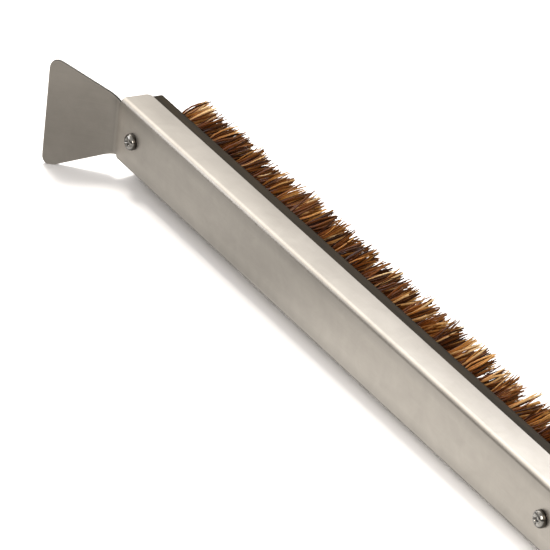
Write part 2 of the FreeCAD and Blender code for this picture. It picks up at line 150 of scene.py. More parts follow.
# The scraper's corner is rounded, so it touches a little way in from its box's corner.
CORNER_INSET = 2.5 * MM
CORNER_LIFT = 1 * MM

channel_low, channel_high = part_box("body_channel")
tufts_low, tufts_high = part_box("lower_tufts")
loop_low, loop_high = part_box("hanging_loop")
scraper_corner = Vector((channel_low.x + CORNER_INSET, channel_low.y + CORNER_LIFT,
                         channel_low.z))
tuft_tip = Vector((tufts_high.x, tufts_high.y, tufts_low.z))
loop_arm = Vector((loop_high.x, (loop_low.y + loop_high.y) / 2, loop_low.z))
floor_normal = (tuft_tip - scraper_corner).cross(loop_arm - scraper_corner).normalized()
if floor_normal.z < 0:
    floor_normal.negate()

deselect()
bpy.ops.mesh.primitive_plane_add(size=FLOOR_SIZE)
floor = bpy.context.object
floor.name = "floor"
floor.rotation_mode = "QUATERNION"
floor.rotation_quaternion = floor_normal.to_track_quat("Z", "Y")
floor.location = scraper_corner
bpy.ops.object.transform_apply(location=True, rotation=True, scale=True)
white_paper = start_material("white_paper", Base_Color=srgb("#f3f0ee"), Roughness=0.9)[0]
floor.data.materials.append(white_paper)
floor.visible_glossy = False
print("floor normal", [round(x, 3) for x in floor_normal])

# %% [markdown]
# ### Cards for the steel to mirror
# Satin steel shows whatever it faces as a soft blur, and the back and scraper both face
# the floor. White paper would light them evenly, so they mirror a graded card instead,
# just below the floor: brighter towards the handle, dimmer to both sides, and with a dim
# spot where the scraper looks. Studios light metal with such cards.

# %% Glow of the reflection card
# Reaches are in metres, and a glow of 1 is as bright as lit white paper.
LENGTHWISE_REACH = (-0.25, -0.09)
LENGTHWISE_GLOW = (1.07, 1.72)
SIDEWAYS_REACH = (-0.12, 0.04)
SIDEWAYS_GLOW = ((0, 0.75), (0.3, 0.85), (0.45, 1.0), (0.6, 1.0), (0.72, 0.25), (1, 0.12))
DIM_SPOT = (-0.13, -0.085, -0.05)
DIM_SPOT_REACH = (0.03, 0.075)
DIM_SPOT_GLOW = (0.5, 1.0)

graded_card, tree, shader = start_material("graded_card", Base_Color=srgb("#000000"),
                                           Roughness=1.0, Emission_Strength=1.0)
place = add_node(tree, "ShaderNodeTexCoord")
spot = add_node(tree, "ShaderNodeSeparateXYZ", {0: place.outputs["Object"]})
lengthwise_glow = add_node(tree, "ShaderNodeMapRange",
                           {"Value": spot.outputs["X"],
                            "From Min": LENGTHWISE_REACH[0], "From Max": LENGTHWISE_REACH[1],
                            "To Min": LENGTHWISE_GLOW[0], "To Max": LENGTHWISE_GLOW[1]})
sideways_share = add_node(tree, "ShaderNodeMapRange",
                          {"Value": spot.outputs["Y"],
                           "From Min": SIDEWAYS_REACH[0], "From Max": SIDEWAYS_REACH[1]})
sideways_glow = add_node(tree, "ShaderNodeValToRGB", {"Fac": sideways_share.outputs["Result"]},
                         stops=tones(*SIDEWAYS_GLOW))
spot_distance = add_node(tree, "ShaderNodeVectorMath",
                         {0: place.outputs["Object"], 1: DIM_SPOT}, operation="DISTANCE")
spot_glow = add_node(tree, "ShaderNodeMapRange",
                     {"Value": spot_distance.outputs["Value"],
                      "From Min": DIM_SPOT_REACH[0], "From Max": DIM_SPOT_REACH[1],
                      "To Min": DIM_SPOT_GLOW[0], "To Max": DIM_SPOT_GLOW[1]})
graded_glow = add_node(tree, "ShaderNodeMath",
                       {0: lengthwise_glow.outputs["Result"], 1: spot_glow.outputs["Result"]},
                       operation="MULTIPLY")
card_tone = add_node(tree, "ShaderNodeVectorMath",
                     {0: graded_glow.outputs["Value"], 1: sideways_glow.outputs["Color"]},
                     operation="MULTIPLY")
tree.links.new(card_tone.outputs["Vector"], shader.inputs["Emission Color"])
graded_card.cycles.emission_sampling = "NONE"
print(graded_card.name, "has", len(tree.nodes), "nodes")

# %% [markdown]
# The card is a copy of the floor, moved down. A card must show in the steel and nowhere
# else, so one helper hides it from every other kind of ray.

# %% Reflection card
CARD_DEPTH = 20 * MM


def hide_outside_reflections(card):
    """Let only reflections see a card."""
    for ray_kind in ("camera", "diffuse", "transmission", "volume_scatter", "shadow"):
        setattr(card, "visible_" + ray_kind, False)
    card.visible_glossy = True


card = floor.copy()
card.data = floor.data.copy()
card.name = "reflection_card"
card.data.transform(Matrix.Translation(-CARD_DEPTH * floor_normal))
card.data.materials.clear()
card.data.materials.append(graded_card)
bpy.context.collection.objects.link(card)
hide_outside_reflections(card)
print("the card lies", round(CARD_DEPTH / MM), "mm below the floor")

# %% [markdown]
# The front end of the upper bend catches more light than the rest, as from a window close
# by. A small bright card stands there, seen only in the steel.

# %% Bounce card
BOUNCE_PLACE = Vector((-0.27, -0.12, 0.085))
BOUNCE_FACES = Vector((0.757, 0.60, -0.12))
BOUNCE_SIZE = 0.11
BOUNCE_STRENGTH = 3.8

bright_card = start_material("bounce_card", Base_Color=srgb("#000000"), Roughness=1.0,
                             Emission_Color=srgb("#f2f6ff"),
                             Emission_Strength=BOUNCE_STRENGTH)[0]
deselect()
bpy.ops.mesh.primitive_plane_add(size=BOUNCE_SIZE)
bounce = bpy.context.object
bounce.name = "bounce_card"
bounce.rotation_mode = "QUATERNION"
bounce.rotation_quaternion = BOUNCE_FACES.to_track_quat("Z", "Y")
bounce.location = BOUNCE_PLACE
bpy.ops.object.transform_apply(location=True, rotation=True, scale=True)
bounce.data.materials.append(bright_card)
hide_outside_reflections(bounce)
print("bounce card at", [round(x, 3) for x in BOUNCE_PLACE])

# %% [markdown]
# ### Lamps
# A large soft box high beyond the scraper lights the wood, the fibres and the floor, and
# throws the soft shadow towards us. Steel would mirror it as a glare, so the steel sees a
# weaker lamp over the upper flange instead. A small lamp near the camera fills the side
# that faces us.

# %% Lamps
def add_area_light(name, toward, distance, size, power, tint):
    """A square soft box that shines at the brush from a direction."""
    direction = Vector(toward).normalized()
    bpy.ops.object.light_add(type="AREA", location=direction * distance)
    light = bpy.context.object
    light.name = name
    light.rotation_mode = "QUATERNION"
    light.rotation_quaternion = direction.to_track_quat("Z", "Y")
    light.data.size = size
    light.data.energy = power
    light.data.color = srgb(tint)[:3]
    light.visible_camera = False
    return light


key_light = add_area_light("key_light", (-0.50, 0.10, 0.86), 1.6, 0.46, 30, "#fffcf8")
key_light.visible_glossy = False
flange_light = add_area_light("flange_light", (-0.20, 0.42, 0.90), 0.8, 0.3, 5.8, "#e9f1ff")
flange_light.visible_diffuse = False
near_light = add_area_light("near_light", (0.757, -0.468, 0.50), 0.62, 0.3, 2.9, "#fffbf6")
print("lamps:", key_light.name, flange_light.name, near_light.name)

# %% [markdown]
# The room around is a soft ceiling over a darker horizon, brighter beyond the scraper. A
# bright patch high on that side is what the upper bend mirrors as its long highlight. The
# steel sees the room at full strength, and everything else sees less of it, which keeps
# the shadows on the floor.

# %% Room
# Heights run from 0, straight down, to 1, straight up.
CEILING = ((0, 0.5), (0.36, 0.5), (0.46, 0.16), (0.53, 0.12), (0.62, 0.38), (0.72, 0.68),
           (0.84, 0.8), (1, 0.7))
BRIGHT_SIDE = (-0.90, 0.42, 0.0)
BRIGHT_SIDE_GLOW = (0.9, 2.4)
PATCH_SIDE = (-0.757, 0.0, 0.653)
PATCH_REACH = (0.88, 0.99)
PATCH_GLOW = 2.3
ROOM_SHARE_OUTSIDE_STEEL = 0.62

world = bpy.data.worlds.new("studio")
bpy.context.scene.world = world
world.use_nodes = True
tree = world.node_tree
background = tree.nodes["Background"]
direction = add_node(tree, "ShaderNodeTexCoord")
height = add_node(tree, "ShaderNodeSeparateXYZ", {0: direction.outputs["Generated"]})
height_share = add_node(tree, "ShaderNodeMapRange",
                        {"Value": height.outputs["Z"], "From Min": -1.0, "From Max": 1.0})
ceiling = add_node(tree, "ShaderNodeValToRGB", {"Fac": height_share.outputs["Result"]},
                   stops=tones(*CEILING))
bright_side = add_node(tree, "ShaderNodeVectorMath",
                       {0: direction.outputs["Generated"], 1: BRIGHT_SIDE},
                       operation="DOT_PRODUCT")
side_glow = add_node(tree, "ShaderNodeMapRange",
                     {"Value": bright_side.outputs["Value"],
                      "From Min": -1.0, "From Max": 1.0,
                      "To Min": BRIGHT_SIDE_GLOW[0], "To Max": BRIGHT_SIDE_GLOW[1]})
patch = add_node(tree, "ShaderNodeVectorMath",
                 {0: direction.outputs["Generated"], 1: PATCH_SIDE}, operation="DOT_PRODUCT")
patch_glow = add_node(tree, "ShaderNodeMapRange",
                      {"Value": patch.outputs["Value"],
                       "From Min": PATCH_REACH[0], "From Max": PATCH_REACH[1],
                       "To Min": 0.0, "To Max": PATCH_GLOW})
room = add_node(tree, "ShaderNodeVectorMath",
                {0: ceiling.outputs["Color"], 1: side_glow.outputs["Result"],
                 2: patch_glow.outputs["Result"]}, operation="MULTIPLY_ADD")
ray = add_node(tree, "ShaderNodeLightPath")
room_strength = add_node(tree, "ShaderNodeMapRange",
                         {"Value": ray.outputs["Is Glossy Ray"],
                          "To Min": ROOM_SHARE_OUTSIDE_STEEL, "To Max": 1.0})
tree.links.new(room.outputs["Vector"], background.inputs["Color"])
tree.links.new(room_strength.outputs["Result"], background.inputs["Strength"])
bpy.context.scene.view_settings.view_transform = "Standard"
print(world.name, "has", len(tree.nodes), "nodes")

# %% [markdown]
# ## Materials
# Each one starts from what the real surface is and how it was made.
# ### Rolled stainless sheet
# Type 304 sheet with a rolled satin finish: a grey, faintly warm metal whose fine lines
# run along the sheet. The lines are a few hundredths of a millimetre wide, so they are
# drawn about ten times coarser. They follow the folded sheet, through an attribute that
# holds each point's place on the sheet before it was folded. Clouding is broader, with
# patches about 70 mm long, and changes both the tone and the roughness.

# %% Grain and clouding of the sheet
GRAIN_WIDTH = 0.35 * MM
GRAIN_LENGTH = 28 * MM
CLOUD_SCALE = (14, 45, 45)

sheet_steel, tree, shader = start_material("satin_stainless_sheet", Metallic=1.0)
flat_place = add_node(tree, "ShaderNodeAttribute", attribute_name="flat_place")
grain_place = add_node(tree, "ShaderNodeMapping",
                       {"Vector": flat_place.outputs["Vector"],
                        "Scale": (1 / GRAIN_LENGTH, 1 / GRAIN_WIDTH, 1 / GRAIN_WIDTH)})
grain = add_node(tree, "ShaderNodeTexNoise",
                 {"Vector": grain_place.outputs["Vector"], "Scale": 1.0, "Detail": 3.0})
cloud_place = add_node(tree, "ShaderNodeMapping",
                       {"Vector": flat_place.outputs["Vector"], "Scale": CLOUD_SCALE})
cloud = add_node(tree, "ShaderNodeTexNoise",
                 {"Vector": cloud_place.outputs["Vector"], "Scale": 1.0, "Detail": 4.0})
steel_tone = add_node(tree, "ShaderNodeValToRGB", {"Fac": cloud.outputs["Fac"]},
                      stops=[(0.3, srgb("#9f978c")), (0.7, srgb("#aba398"))])
steel_roughness = add_node(tree, "ShaderNodeMapRange",
                           {"Value": cloud.outputs["Fac"], "To Min": 0.33, "To Max": 0.47})
tree.links.new(steel_roughness.outputs["Result"], shader.inputs["Roughness"])
steel_bump = add_node(tree, "ShaderNodeBump",
                      {"Height": grain.outputs["Fac"], "Strength": 0.25,
                       "Distance": 0.02 * MM})
tree.links.new(steel_bump.outputs["Normal"], shader.inputs["Normal"])
print("grain lines are", round(GRAIN_WIDTH / MM, 2), "mm wide")

# %% [markdown]
# A handled sheet also carries faint finger smudges, about a centimetre across. Together
# with the grain they make its marks.

# %% Smudges of the sheet
SMUDGE_SIZE = 11 * MM

smudge = add_node(tree, "ShaderNodeTexNoise",
                  {"Vector": flat_place.outputs["Vector"], "Scale": 1 / SMUDGE_SIZE,
                   "Detail": 5.0, "Roughness": 0.65, "Distortion": 0.6})
smudge_tone = add_node(tree, "ShaderNodeMapRange",
                       {"Value": smudge.outputs["Fac"], "From Min": 0.3, "From Max": 0.7,
                        "To Min": 0.93, "To Max": 1.04})
grain_tone = add_node(tree, "ShaderNodeMapRange",
                      {"Value": grain.outputs["Fac"], "To Min": 0.93, "To Max": 1.05})
marked_tone = add_node(tree, "ShaderNodeMath",
                       {0: grain_tone.outputs["Result"], 1: smudge_tone.outputs["Result"]},
                       operation="MULTIPLY")
print("smudges are", round(SMUDGE_SIZE / MM), "mm across")

# %% [markdown]
# The back is painted brighter in a band where the channel starts, as a painted highlight that
# fades out along the back, and the scraper is painted darker than the channel, as painted shade.
# The flanges keep the plain sheet's tone.

# %% Painted light on the back at the fold, and painted shade on the scraper
BLOCK_SETBACK = 0.6 * MM
CHANNEL_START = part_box("brush_block")[0].x - BLOCK_SETBACK
FOLD_BAND = (CHANNEL_START - 12 * MM, CHANNEL_START + 24 * MM)
# Painted light along the sheet: the low first stop is the scraper's painted shade, and the peak
# is the back's painted highlight.
FOLD_PAINTED_LIGHT = ((0, 0.44), (0.24, 0.46), (0.34, 0.88), (0.40, 0.95), (0.60, 0.80), (1, 0.67))
PAINTED_LIGHT_GAIN = 1.5
NOTCH_BAND = (CHANNEL_START - 8 * MM, CHANNEL_START)
BEND_BAND = (13 * MM, 16 * MM)

across_sheet = add_node(tree, "ShaderNodeSeparateXYZ", {0: flat_place.outputs["Vector"]})
from_middle = add_node(tree, "ShaderNodeMath", {0: across_sheet.outputs["Y"]},
                       operation="ABSOLUTE")
fold_share = add_node(tree, "ShaderNodeMapRange",
                      {"Value": across_sheet.outputs["X"], "From Min": FOLD_BAND[0],
                       "From Max": FOLD_BAND[1], "To Max": 1.0})
fold_painted_light = add_node(tree, "ShaderNodeValToRGB", {"Fac": fold_share.outputs["Result"]},
                       stops=tones(*FOLD_PAINTED_LIGHT))
fold_gain = add_node(tree, "ShaderNodeMath",
                     {0: fold_painted_light.outputs["Color"], 1: PAINTED_LIGHT_GAIN}, operation="MULTIPLY")
on_channel = add_node(tree, "ShaderNodeMapRange",
                      {"Value": across_sheet.outputs["X"], "From Min": NOTCH_BAND[0],
                       "From Max": NOTCH_BAND[1]})
on_flange = add_node(tree, "ShaderNodeMapRange",
                     {"Value": from_middle.outputs["Value"], "From Min": BEND_BAND[0],
                      "From Max": BEND_BAND[1], "To Max": on_channel.outputs["Result"]})
# The painted gain covers the back and the scraper, and the flanges stay at 1.
back_gain = add_node(tree, "ShaderNodeMapRange",
                     {"Value": on_flange.outputs["Result"],
                      "To Min": fold_gain.outputs["Value"], "To Max": 1.0})
surface_tone = add_node(tree, "ShaderNodeMath",
                        {0: marked_tone.outputs["Value"], 1: back_gain.outputs["Result"]},
                        operation="MULTIPLY")
steel_colour = add_node(tree, "ShaderNodeVectorMath",
                        {0: steel_tone.outputs["Color"], 1: surface_tone.outputs["Value"]},
                        operation="MULTIPLY")
print("the paint_brightened band is", round((FOLD_BAND[1] - FOLD_BAND[0]) / MM), "mm long")

# %% [markdown]
# The channel is painted a little brighter or duller in stripes, as painted light and shade: dull
# beside each bend, a painted highlight on it, and dull again at the flange's edge. The scraper
# has no bends, but it is painted darker towards its lower side, as painted shade.

# %% Painted light on the channel and painted shade on the scraper
STRIPE_REACH = 32 * MM
# Painted light and shade across the channel: dull beside each bend, a painted highlight on it,
# dull at the flange's edge.
CHANNEL_PAINTED_LIGHT = ((0, 0.97), (0.26, 0.97), (0.40, 0.82), (0.44, 0.88), (0.54, 0.98),
                   (0.70, 0.90), (1, 0.74))
# Painted shade: the scraper darkens towards its lower side.
SCRAPER_SHADE_BAND = (-30 * MM, 15 * MM)
SCRAPER_PAINTED_SHADE = (0.80, 1.04)

stripe_share = add_node(tree, "ShaderNodeMapRange",
                        {"Value": from_middle.outputs["Value"], "From Max": STRIPE_REACH})
stripes = add_node(tree, "ShaderNodeValToRGB", {"Fac": stripe_share.outputs["Result"]},
                   stops=tones(*CHANNEL_PAINTED_LIGHT))
scraper_tone = add_node(tree, "ShaderNodeMapRange",
                        {"Value": across_sheet.outputs["Y"],
                         "From Min": SCRAPER_SHADE_BAND[0], "From Max": SCRAPER_SHADE_BAND[1],
                         "To Min": SCRAPER_PAINTED_SHADE[0], "To Max": SCRAPER_PAINTED_SHADE[1]})
painted_light_tone = add_node(tree, "ShaderNodeMix",
                     {0: on_channel.outputs["Result"], 6: scraper_tone.outputs["Result"],
                      7: stripes.outputs["Color"]}, data_type="RGBA")
painted_light_colour = add_node(tree, "ShaderNodeVectorMath",
                       {0: steel_colour.outputs["Vector"], 1: painted_light_tone.outputs[2]},
                       operation="MULTIPLY")
tree.links.new(painted_light_colour.outputs["Vector"], shader.inputs["Base Color"])
print(sheet_steel.name, "has", len(tree.nodes), "nodes")

# %% [markdown]
# ### Sheared edge
# Where the shears cut the sheet, the edge is a dull torn grey-brown, painted very dark as
# painted shade for the dark line along the cut, and its fine tears are about a millimetre apart.

# %% Sheared edge
SHEAR_MARK_SCALE = 1400.0

shaded_cut_edge, tree, shader = start_material("sheared_edge_painted_shade", Metallic=1.0, Roughness=0.7)
place = add_node(tree, "ShaderNodeTexCoord")
shear_marks = add_node(tree, "ShaderNodeTexNoise",
                       {"Vector": place.outputs["Object"], "Scale": SHEAR_MARK_SCALE,
                        "Detail": 2.0})
# Painted shade: the edge's colour is kept very dark, for the dark line along the cut.
painted_shade_edge_tone = add_node(tree, "ShaderNodeValToRGB", {"Fac": shear_marks.outputs["Fac"]},
                      stops=[(0, srgb("#262320")), (1, srgb("#4a4641"))])
tree.links.new(painted_shade_edge_tone.outputs["Color"], shader.inputs["Base Color"])
print(shaded_cut_edge.name, "has", len(tree.nodes), "nodes")

# %% [markdown]
# ### Stained beech
# The block is beech dyed a dull olive black. Beech has short dark flecks about 3 mm long
# along the grain and a soft long figure, drawn out to about 40 mm. The dye leaves them
# barely lighter than the rest, and the open pores scatter nearly all of the shine.

# %% Stained beech
FIGURE_SCALE = (25, 320, 320)
FLECK_LENGTH = 3 * MM
FLECK_WIDTH = 0.4 * MM

beech, tree, shader = start_material("stained_beech", Roughness=0.7, Specular_IOR_Level=0.1)
place = add_node(tree, "ShaderNodeTexCoord")
figure_place = add_node(tree, "ShaderNodeMapping",
                        {"Vector": place.outputs["Object"], "Scale": FIGURE_SCALE})
figure = add_node(tree, "ShaderNodeTexNoise",
                  {"Vector": figure_place.outputs["Vector"], "Scale": 1.0, "Detail": 5.0})
fleck_place = add_node(tree, "ShaderNodeMapping",
                       {"Vector": place.outputs["Object"],
                        "Scale": (1 / FLECK_LENGTH, 1 / FLECK_WIDTH, 1 / FLECK_WIDTH)})
fleck = add_node(tree, "ShaderNodeTexNoise",
                 {"Vector": fleck_place.outputs["Vector"], "Scale": 1.0, "Detail": 2.0})
wood_tone = add_node(tree, "ShaderNodeValToRGB", {"Fac": figure.outputs["Fac"]},
                     stops=[(0.32, srgb("#1b160c")), (0.72, srgb("#271f13"))])
fleck_tone = add_node(tree, "ShaderNodeMapRange",
                      {"Value": fleck.outputs["Fac"], "From Min": 0.35, "From Max": 0.65,
                       "To Min": 0.85, "To Max": 1.08})
wood_colour = add_node(tree, "ShaderNodeVectorMath",
                       {0: wood_tone.outputs["Color"], 1: fleck_tone.outputs["Result"]},
                       operation="MULTIPLY")
tree.links.new(wood_colour.outputs["Vector"], shader.inputs["Base Color"])
wood_bump = add_node(tree, "ShaderNodeBump",
                     {"Height": fleck.outputs["Fac"], "Strength": 0.35,
                      "Distance": 0.08 * MM})
tree.links.new(wood_bump.outputs["Normal"], shader.inputs["Normal"])
print(beech.name, "has flecks", round(FLECK_LENGTH / MM, 1), "mm long")

# %% [markdown]
# ### Palm fibre
# Stiff golden-brown fibre split from palm leaf stalks. No two strands match, so every strand
# carries a tone of its own. Each strand is painted darker and redder down in the tuft, as
# painted shade deep among the strands, and paler at its cut tip. A mottle about a millimetre
# long breaks up each strand.

# %% Palm fibre
MOTTLE_SCALE = 900.0

palm_fibre, tree, shader = start_material("palm_fibre", Roughness=0.38,
                                          Specular_IOR_Level=0.25)
strand_tone = add_node(tree, "ShaderNodeAttribute", attribute_name="strand_tone")
strand_reach = add_node(tree, "ShaderNodeAttribute", attribute_name="strand_reach")
tone = add_node(tree, "ShaderNodeValToRGB", {"Fac": strand_tone.outputs["Fac"]},
                stops=[(0, srgb("#2a1304")), (0.3, srgb("#472708")), (0.6, srgb("#82511c")),
                       (0.82, srgb("#c29352")), (1, srgb("#f0d7a6"))])
# Painted shade: each strand darkens from its tip down to its root.
painted_root_shade = add_node(tree, "ShaderNodeValToRGB", {"Fac": strand_reach.outputs["Fac"]},
                      stops=[(0, srgb("#5e3c26")), (0.45, srgb("#d0b49a")),
                             (1, srgb("#ffffff"))])
place = add_node(tree, "ShaderNodeTexCoord")
mottle = add_node(tree, "ShaderNodeTexNoise",
                  {"Vector": place.outputs["Object"], "Scale": MOTTLE_SCALE, "Detail": 2.0})
mottle_tone = add_node(tree, "ShaderNodeMapRange",
                       {"Value": mottle.outputs["Fac"], "To Min": 0.55, "To Max": 1.45})
root_shaded_colour = add_node(tree, "ShaderNodeVectorMath",
                       {0: tone.outputs["Color"], 1: painted_root_shade.outputs["Color"]},
                       operation="MULTIPLY")
fibre_colour = add_node(tree, "ShaderNodeVectorMath",
                        {0: root_shaded_colour.outputs["Vector"], 1: mottle_tone.outputs["Result"]},
                        operation="MULTIPLY")
tree.links.new(fibre_colour.outputs["Vector"], shader.inputs["Base Color"])
fibre_bump = add_node(tree, "ShaderNodeBump",
                      {"Height": mottle.outputs["Fac"], "Strength": 0.4,
                       "Distance": 0.1 * MM})
tree.links.new(fibre_bump.outputs["Normal"], shader.inputs["Normal"])
print(palm_fibre.name, "has", len(tree.nodes), "nodes")

# %% [markdown]
# ### Small metal parts
# The screws are tumbled bright after heading, the loop is drawn wire with faint marks, the
# inserts are turned brass, and the anchors are flattened wire. All four are one recipe: two
# close tones of the metal in a mottle finer than a millimetre, which roughens and dents it too.
# Painted shade and grime darken a screw's recess and under its head, through an attribute that
# only the screws have.

# %% Screw steel, wire and brass
# Colour of the painted shade and grime in a screw's recess and under its head.
RECESS_SHADE_COLOUR = "#12100e"


def make_small_metal(name, dark, light, roughness, scale, depth):
    """A metal with a fine mottle left by tumbling, drawing or turning."""
    material, tree, shader = start_material(name, Metallic=1.0)
    place = add_node(tree, "ShaderNodeTexCoord")
    stretched = add_node(tree, "ShaderNodeMapping",
                         {"Vector": place.outputs["Object"], "Scale": scale})
    marks = add_node(tree, "ShaderNodeTexNoise",
                     {"Vector": stretched.outputs["Vector"], "Scale": 1.0, "Detail": 3.0})
    tone = add_node(tree, "ShaderNodeValToRGB", {"Fac": marks.outputs["Fac"]},
                    stops=[(0.3, srgb(dark)), (0.7, srgb(light))])
    # Painted shade: the attribute turns a point towards the recess colour.
    recess = add_node(tree, "ShaderNodeAttribute", attribute_name="recess_depth")
    colour = add_node(tree, "ShaderNodeMix",
                      {0: recess.outputs["Fac"], 6: tone.outputs["Color"],
                       7: srgb(RECESS_SHADE_COLOUR)}, data_type="RGBA")
    tree.links.new(colour.outputs[2], shader.inputs["Base Color"])
    spread = add_node(tree, "ShaderNodeMapRange",
                      {"Value": marks.outputs["Fac"], "To Min": roughness - 0.06,
                       "To Max": roughness + 0.08})
    tree.links.new(spread.outputs["Result"], shader.inputs["Roughness"])
    bump = add_node(tree, "ShaderNodeBump",
                    {"Height": marks.outputs["Fac"], "Strength": 0.2, "Distance": depth})
    tree.links.new(bump.outputs["Normal"], shader.inputs["Normal"])
    return material


screw_steel = make_small_metal("tumbled_stainless", "#77726b", "#a19c94", 0.16,
                               (1200, 1200, 1200), 0.02 * MM)
drawn_wire = make_small_metal("drawn_stainless_wire", "#b0aca5", "#cfccc6", 0.32,
                              (1500, 1500, 1500), 0.01 * MM)
turned_brass = make_small_metal("turned_brass", "#b08d4c", "#cfae6a", 0.3,
                                (900, 3000, 900), 0.02 * MM)
print("small metals:", screw_steel.name, drawn_wire.name, turned_brass.name)

# %% [markdown]
# ## The folded sheet
# Channel and scraper are one sheet, cut flat and then folded. It could be carried over
# from the design, but its soft bends take the light along the whole brush, so it is
# folded again here: a strip, two side bends spun and drawn out into flanges, and the
# front edge spun round the scraper's fold. The sheet gets its thickness last. The sizes
# are the design's, so that the new sheet lies in the same place.

# %% Sizes of the sheet
SHEET = 1.2 * MM
BEND_RADIUS = 2.5 * MM
FOLD_ANGLE = math.radians(47.5)
FOLD_RADIUS = 10 * MM
FOLD_START = 0.5 * MM
SCRAPER_LENGTH = 28.2 * MM
SCRAPER_HALF_WIDTH = 29.2 * MM
ROOT_HALF_WIDTH = 13.3 * MM
NOTCH_SETBACK = 3.3 * MM
SCRAPER_CORNER = 4.5 * MM
FLANGE_CORNER = 2.5 * MM
CHANNEL_HALF_WIDTH = 16 * MM

front = CHANNEL_START
rear = channel_high.x
flange_edge = channel_high.y
flat_half = CHANNEL_HALF_WIDTH - BEND_RADIUS
fold_run = FOLD_RADIUS * math.tan(FOLD_ANGLE / 2)
fold_corner = Vector((front - FOLD_START - fold_run, 0, 0))
toward_channel = Vector((math.cos(FOLD_ANGLE), math.sin(FOLD_ANGLE), 0))
scraper_reach = fold_run + SCRAPER_LENGTH
print("channel from", round(front / MM, 1), "to", round(rear / MM, 1), "mm")

# %% [markdown]
# A piece is shaped in edit mode, where an operator acts on what is selected. So one helper
# selects by place, others keep one object selected, and one applies a modifier.

# %% Helpers for selecting and for modifiers
def near(a, b, tolerance=0.02 * MM):
    """Whether two lengths are the same, to a fiftieth of a millimetre."""
    return abs(a - b) < tolerance


def select_only(piece):
    """Make a piece the one selected and active object."""
    deselect()
    piece.select_set(True)
    bpy.context.view_layer.objects.active = piece


def pick(piece, kind, wanted):
    """In edit mode, select the vertices or edges all of whose corners pass a test."""
    bpy.ops.mesh.select_mode(type=kind)
    bpy.ops.mesh.select_all(action="DESELECT")
    mesh = bmesh.from_edit_mesh(piece.data)
    for part in {"VERT": mesh.verts, "EDGE": mesh.edges}[kind]:
        corners = [part] if kind == "VERT" else part.verts
        if all(wanted(corner.co) for corner in corners):
            part.select_set(True)
    mesh.select_flush_mode()
    bmesh.update_edit_mesh(piece.data)


def apply_modifier(piece, kind, **settings):
    """Add a modifier, set it and apply it."""
    select_only(piece)
    modifier = piece.modifiers.new(kind.title(), kind)
    for name, setting in settings.items():
        setattr(modifier, name, setting)
    bpy.ops.object.modifier_apply(modifier=modifier.name)


print("flat back:", round(2 * flat_half / MM, 1), "mm between the bends")

# %% [markdown]
# The back is a flat strip. Each of its long edges is spun a quarter turn round the bend's
# centre, which makes the rounded bend, and the edge that comes out of the spin is drawn
# straight out into the flange.

# %% The strip and its two flanges
BEND_STEPS = 10

deselect()
bpy.ops.mesh.primitive_plane_add(size=1, location=((front + rear) / 2, 0, 0),
                                 rotation=(math.pi / 2, 0, 0))
channel = bpy.context.object
channel.name = "folded_channel"
channel.scale = (rear - front, 2 * flat_half, 1)
bpy.ops.object.transform_apply(location=True, rotation=True, scale=True)
bpy.ops.object.mode_set(mode="EDIT")
for side in (1, -1):
    pick(channel, "EDGE", lambda p: near(p.y, 0) and near(p.z, side * flat_half))
    bpy.ops.mesh.spin(steps=BEND_STEPS, angle=math.pi / 2,
                      center=(0, BEND_RADIUS, side * flat_half), axis=(side, 0, 0))
    bpy.ops.mesh.extrude_region_move(
        TRANSFORM_OT_translate={"value": (0, flange_edge - BEND_RADIUS, 0)})
bpy.ops.object.mode_set(mode="OBJECT")
corners = [v.co for v in channel.data.vertices]
print("flanges reach y", round(max(p.y for p in corners) / MM, 2),
      "z", round(max(p.z for p in corners) / MM, 2))

# %% [markdown]
# The scraper grows from the back's front edge in the same way: a short flat, the soft
# fold, and then the flat blade in the direction that the fold leaves it in.

# %% The scraper's fold and blade
FOLD_STEPS = 14

bpy.ops.object.mode_set(mode="EDIT")
pick(channel, "EDGE", lambda p: near(p.x, front) and near(p.y, 0))
bpy.ops.mesh.extrude_region_move(TRANSFORM_OT_translate={"value": (-FOLD_START, 0, 0)})
bpy.ops.mesh.spin(steps=FOLD_STEPS, angle=FOLD_ANGLE,
                  center=(front - FOLD_START, -FOLD_RADIUS, 0), axis=(0, 0, -1))
bpy.ops.mesh.extrude_region_move(
    TRANSFORM_OT_translate={"value": -SCRAPER_LENGTH * toward_channel})
bpy.ops.object.mode_set(mode="OBJECT")
corners = [v.co for v in channel.data.vertices]
print("scraper reaches x", round(min(p.x for p in corners) / MM, 2),
      "y", round(min(p.y for p in corners) / MM, 2))

# %% [markdown]
# The scraper flares from the notches to its free edge. Each cross line of the sheet
# between them is scaled to its own width, and then a bevel of single points rounds the
# corners of the blade and of the flanges.

# %% The flare and the rounded corners
SCRAPER_CORNER_STEPS = 8
FLANGE_CORNER_STEPS = 5

rows = sorted({(round(p.x, 6), round(p.y, 6)) for p in corners if p.x < front - 0.1 * MM})
bpy.ops.object.mode_set(mode="EDIT")
for x, y in rows:
    reach = max((fold_corner - Vector((x, y, 0))).dot(toward_channel), -NOTCH_SETBACK)
    share = (reach + NOTCH_SETBACK) / (scraper_reach + NOTCH_SETBACK)
    half_width = ROOT_HALF_WIDTH + (SCRAPER_HALF_WIDTH - ROOT_HALF_WIDTH) * share
    pick(channel, "VERT", lambda p: near(p.x, x) and near(p.y, y))
    bpy.ops.transform.resize(value=(1, 1, half_width / flat_half),
                             center_override=(0, 0, 0))

